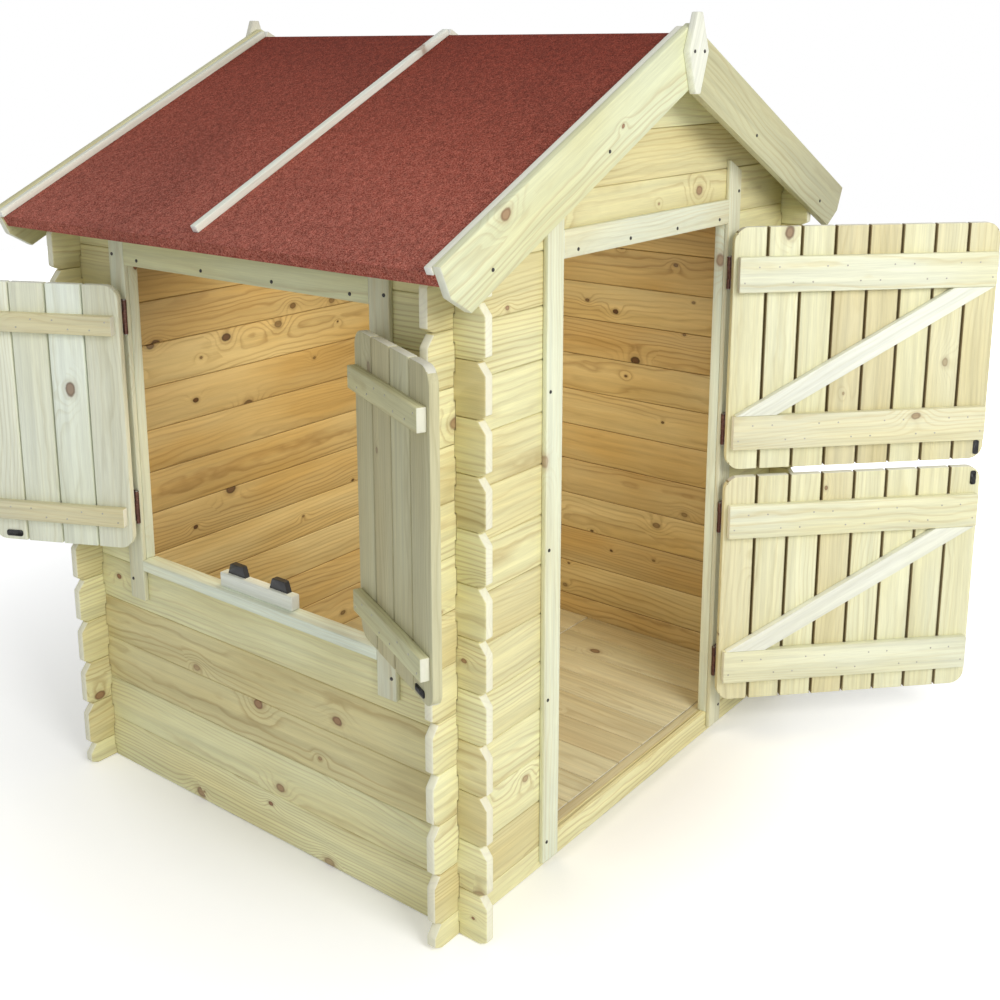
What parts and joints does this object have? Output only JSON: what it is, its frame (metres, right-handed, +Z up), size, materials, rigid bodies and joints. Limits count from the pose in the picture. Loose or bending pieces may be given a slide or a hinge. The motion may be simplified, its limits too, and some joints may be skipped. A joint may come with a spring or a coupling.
{
  "type": "garden playhouse",
  "caption": "Wooden garden playhouse of interlocked log boards with a felted gable roof, a plank floor, a split stable door and a shuttered window.",
  "frame": {"origin": "middle of the floor on the ground, on the underside of the middle floor bearer", "axes": "+Z up, the doorway faces -Y and the window faces -X"},
  "size_m": [1.4121, 1.4748, 1.5048],
  "materials": {
    "log_pine": "planed pine, impregnated, faintly green",
    "planed_pine": "planed pine trim boards",
    "plank_pine": "planed pine planks",
    "roof_felt": "bitumen felt with brick red mineral granules",
    "hinge_metal": "brown lacquered steel",
    "screw_metal": "dark screws",
    "strike_metal": "black strike plates",
    "catch_plastic": "black push catches"
  },
  "bodies": {
    "house": {"barge_screws": "screw_metal", "casing_screws": "screw_metal", "door_catches": "catch_plastic", "door_header": "planed_pine", "door_hinge_frames": "hinge_metal", "door_lining": "planed_pine", "floor_bearers": "log_pine", "floor_edge_strip": "log_pine", "front_felt": "roof_felt", "front_finial": "log_pine", "front_floor_boards": "log_pine", "front_gable_logs": "log_pine", "front_left_barge": "log_pine", "front_left_logs": "log_pine", "front_right_barge": "log_pine", "front_right_logs": "log_pine", "front_sill_log": "log_pine", "front_window_casing": "planed_pine", "hinge_pins": "hinge_metal", "left_door_casing": "planed_pine", "left_front_logs": "log_pine", "left_lower_logs": "log_pine", "left_rear_logs": "log_pine", "left_roof_boards": "log_pine", "left_top_log": "log_pine", "rear_felt": "roof_felt", "rear_finial": "log_pine", "rear_floor_boards": "log_pine", "rear_gable_logs": "log_pine", "rear_left_barge": "log_pine", "rear_right_barge": "log_pine", "rear_wall_logs": "log_pine", "rear_window_casing": "planed_pine", "right_door_casing": "planed_pine", "right_roof_boards": "log_pine", "right_wall_logs": "log_pine", "roof_battens": "planed_pine", "shutter_catches": "catch_plastic", "shutter_hinge_frames": "hinge_metal", "sill_block": "log_pine", "window_header": "planed_pine", "window_lining": "planed_pine", "window_sill": "log_pine"},
    "upper_door": {"upper_door_hinge_leaves": "hinge_metal", "upper_door_ledges": "planed_pine", "upper_door_planks": "plank_pine", "upper_door_strike": "strike_metal"},
    "lower_door": {"lower_door_hinge_leaves": "hinge_metal", "lower_door_ledges": "planed_pine", "lower_door_planks": "plank_pine", "lower_door_strike": "strike_metal"},
    "front_shutter": {"front_shutter_hinge_leaves": "hinge_metal", "front_shutter_ledges": "planed_pine", "front_shutter_planks": "plank_pine", "front_shutter_strike": "strike_metal"},
    "rear_shutter": {"rear_shutter_hinge_leaves": "hinge_metal", "rear_shutter_ledges": "planed_pine", "rear_shutter_planks": "plank_pine", "rear_shutter_strike": "strike_metal"}
  },
  "joints": [
    {"name": "upper_door_hinge", "type": "hinge", "parent": "house", "child": "upper_door", "pos_m": [0.2815, -0.4903, 0.9], "axis": [0, 0, 1], "range_deg": [-136, 26]},
    {"name": "lower_door_hinge", "type": "hinge", "parent": "house", "child": "lower_door", "pos_m": [0.2815, -0.4903, 0.3], "axis": [0, 0, 1], "range_deg": [-136, 26]},
    {"name": "front_shutter_hinge", "type": "hinge", "parent": "house", "child": "front_shutter", "pos_m": [-0.5703, -0.308, 0.76], "axis": [0, 0, 1], "range_deg": [-154, 8]},
    {"name": "rear_shutter_hinge", "type": "hinge", "parent": "house", "child": "rear_shutter", "pos_m": [-0.5703, 0.308, 0.76], "axis": [0, 0, -1], "range_deg": [-154, 8]}
  ]
}
